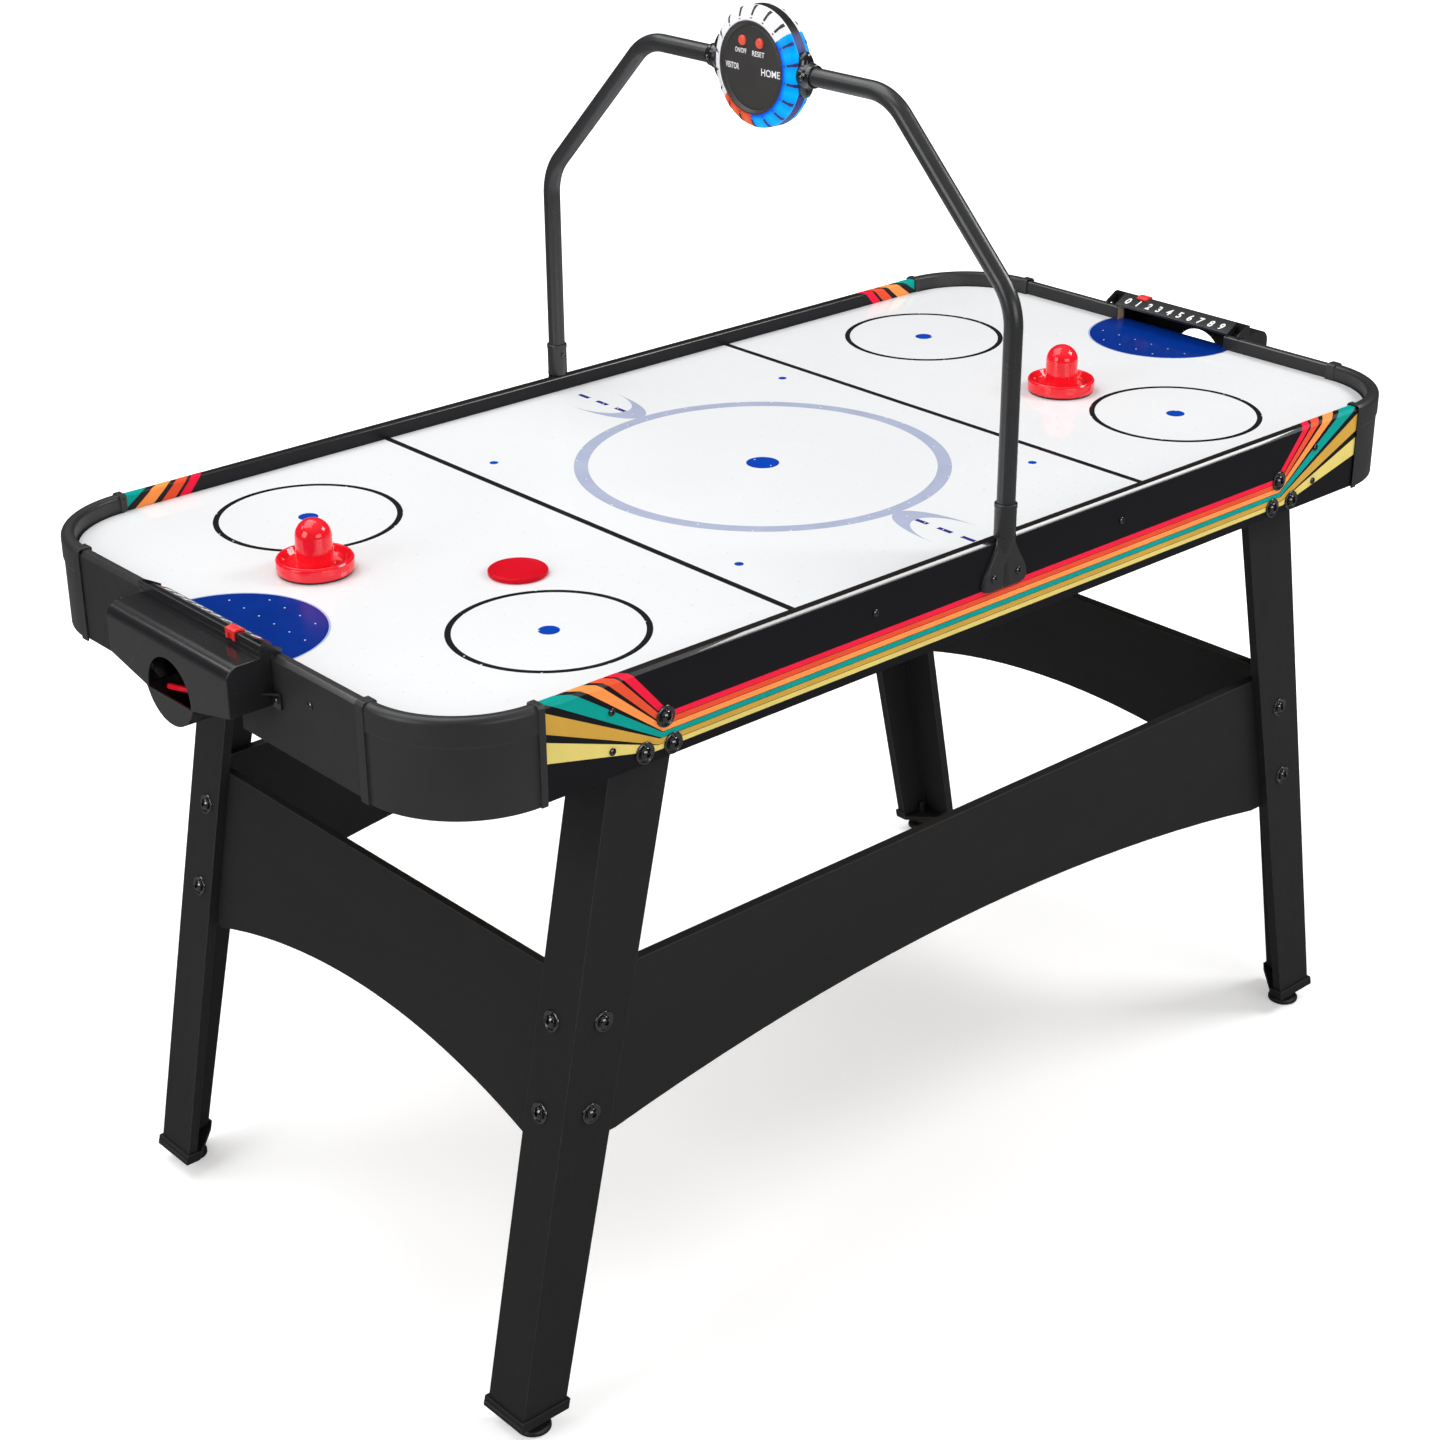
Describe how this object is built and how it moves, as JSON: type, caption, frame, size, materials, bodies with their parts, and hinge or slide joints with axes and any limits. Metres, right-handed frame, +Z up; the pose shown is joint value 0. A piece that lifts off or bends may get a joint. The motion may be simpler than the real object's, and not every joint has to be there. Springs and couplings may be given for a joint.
{
  "type": "air hockey table",
  "caption": "Air hockey table on four levelling feet with boxed goals, score sliders, curved corner caps and an overhead tube gantry holding a round electronic scorer",
  "frame": {"origin": "centre of the table's footprint on the floor", "axes": "+X along the table's length towards the right-hand goal, +Y across it away from the player who stands at the front side, +Z up"},
  "size_m": [1.574, 0.7714, 1.341],
  "materials": {
    "laminate_navy": "satin laminate over board, near black navy",
    "laminate_black": "matt black laminate over board",
    "moulding_black": "satin injection moulded black",
    "play_white": "glossy white coated board",
    "raw_board": "raw brown fibreboard",
    "leg_charcoal": "matt charcoal laminate over board",
    "tube_charcoal": "satin charcoal powder coat",
    "bracket_charcoal": "satin moulded charcoal",
    "red_gloss": "glossy moulded red",
    "felt_black": "black felt",
    "frosted_white": "frosted light guide",
    "scorer_black": "dark satin moulding",
    "circuit_green": "circuit board",
    "blower_grey": "dark grey moulding",
    "motor_steel": "plated motor can",
    "foot_black": "black moulded foot on a threaded stem",
    "fastener_dark": "black zinc plated steel",
    "fastener_steel": "zinc plated steel"
  },
  "bodies": {
    "table": {"blower_housing": "blower_grey", "blower_motor": "motor_steel", "corner_cap_bl": "moulding_black", "corner_cap_br": "moulding_black", "corner_cap_fl": "moulding_black", "corner_cap_fr": "moulding_black", "end_apron_left": "laminate_black", "end_apron_right": "laminate_black", "gantry_bracket_back": "bracket_charcoal", "gantry_bracket_front": "bracket_charcoal", "gantry_tube_back": "tube_charcoal", "gantry_tube_front": "tube_charcoal", "goal_box_left": "moulding_black", "goal_box_right": "moulding_black", "leg_bl": "leg_charcoal", "leg_bolts": "fastener_dark", "leg_br": "leg_charcoal", "leg_cap_bl": "moulding_black", "leg_cap_br": "moulding_black", "leg_cap_fl": "moulding_black", "leg_cap_fr": "moulding_black", "leg_fl": "leg_charcoal", "leg_fr": "leg_charcoal", "leg_nuts": "fastener_steel", "leg_washers": "fastener_dark", "playfield": "play_white", "plenum_floor": "raw_board", "plenum_frame": "raw_board", "scorer_band": "scorer_black", "scorer_board": "circuit_green", "scorer_clamp_back": "bracket_charcoal", "scorer_clamp_front": "bracket_charcoal", "scorer_face_front": "scorer_black", "scorer_face_rear": "scorer_black", "scorer_ring_front": "frosted_white", "scorer_ring_rear": "frosted_white", "side_apron_back": "laminate_navy", "side_apron_front": "laminate_navy", "small_screws": "fastener_dark", "stretcher_back": "leg_charcoal", "stretcher_front": "leg_charcoal", "stretcher_left": "leg_charcoal", "stretcher_right": "leg_charcoal", "switch_bezel": "blower_grey"},
    "score_slider_left": {"score_slider_left": "red_gloss"},
    "score_slider_right": {"score_slider_right": "red_gloss"},
    "power_button": {"power_button": "red_gloss"},
    "reset_button": {"reset_button": "red_gloss"},
    "leveler_fl": {"leveler_fl": "foot_black"},
    "leveler_fr": {"leveler_fr": "foot_black"},
    "leveler_bl": {"leveler_bl": "foot_black"},
    "leveler_br": {"leveler_br": "foot_black"},
    "blower_impeller": {"blower_impeller": "blower_grey"},
    "switch_rocker": {"switch_rocker": "blower_grey"},
    "pusher_left": {"pusher_left": "red_gloss", "felt_left": "felt_black"},
    "pusher_right": {"pusher_right": "red_gloss", "felt_right": "felt_black"},
    "puck_play": {"puck_play": "red_gloss"},
    "puck_return": {"puck_return": "red_gloss"}
  },
  "joints": [
    {"name": "score_left", "type": "slide", "parent": "table", "child": "score_slider_left", "axis": [0, 1, 0], "range_m": [-0.0173, 0.1384]},
    {"name": "score_right", "type": "slide", "parent": "table", "child": "score_slider_right", "axis": [0, -1, 0], "range_m": [-0.0173, 0.1384]},
    {"name": "power_press", "type": "slide", "parent": "table", "child": "power_button", "axis": [1, 0, 0], "range_m": [0, 0.0018], "stiffness_N_per_m": 300},
    {"name": "reset_press", "type": "slide", "parent": "table", "child": "reset_button", "axis": [1, 0, 0], "range_m": [0, 0.0018], "stiffness_N_per_m": 300},
    {"name": "level_fl", "type": "hinge", "parent": "table", "child": "leveler_fl", "pos_m": [-0.636, -0.336, 0], "axis": [0, 0, 1], "continuous": true},
    {"name": "level_fr", "type": "hinge", "parent": "table", "child": "leveler_fr", "pos_m": [0.636, -0.336, 0], "axis": [0, 0, 1], "continuous": true},
    {"name": "level_bl", "type": "hinge", "parent": "table", "child": "leveler_bl", "pos_m": [-0.636, 0.336, 0], "axis": [0, 0, 1], "continuous": true},
    {"name": "level_br", "type": "hinge", "parent": "table", "child": "leveler_br", "pos_m": [0.636, 0.336, 0], "axis": [0, 0, 1], "continuous": true},
    {"name": "blower_spin", "type": "hinge", "parent": "table", "child": "blower_impeller", "pos_m": [0, 0, 0.78], "axis": [0, 0, 1], "continuous": true},
    {"name": "switch_rock", "type": "hinge", "parent": "table", "child": "switch_rocker", "pos_m": [-0.33, 0.3746, 0.774], "axis": [1, 0, 0], "range_deg": [-8, 8]},
    {"name": "pusher_left_slide", "type": "slide", "parent": "table", "child": "pusher_left", "axis": [1, 0, 0], "range_m": [-0.1, 0.5]},
    {"name": "pusher_right_slide", "type": "slide", "parent": "table", "child": "pusher_right", "axis": [1, 0, 0], "range_m": [-0.2, 0.23]},
    {"name": "puck_glide", "type": "slide", "parent": "table", "child": "puck_play", "axis": [1, 0, 0], "range_m": [-0.25, 0.55]},
    {"name": "puck_take", "type": "slide", "parent": "table", "child": "puck_return", "axis": [-0.8994, 0, 0.437], "range_m": [0, 0.07]}
  ]
}
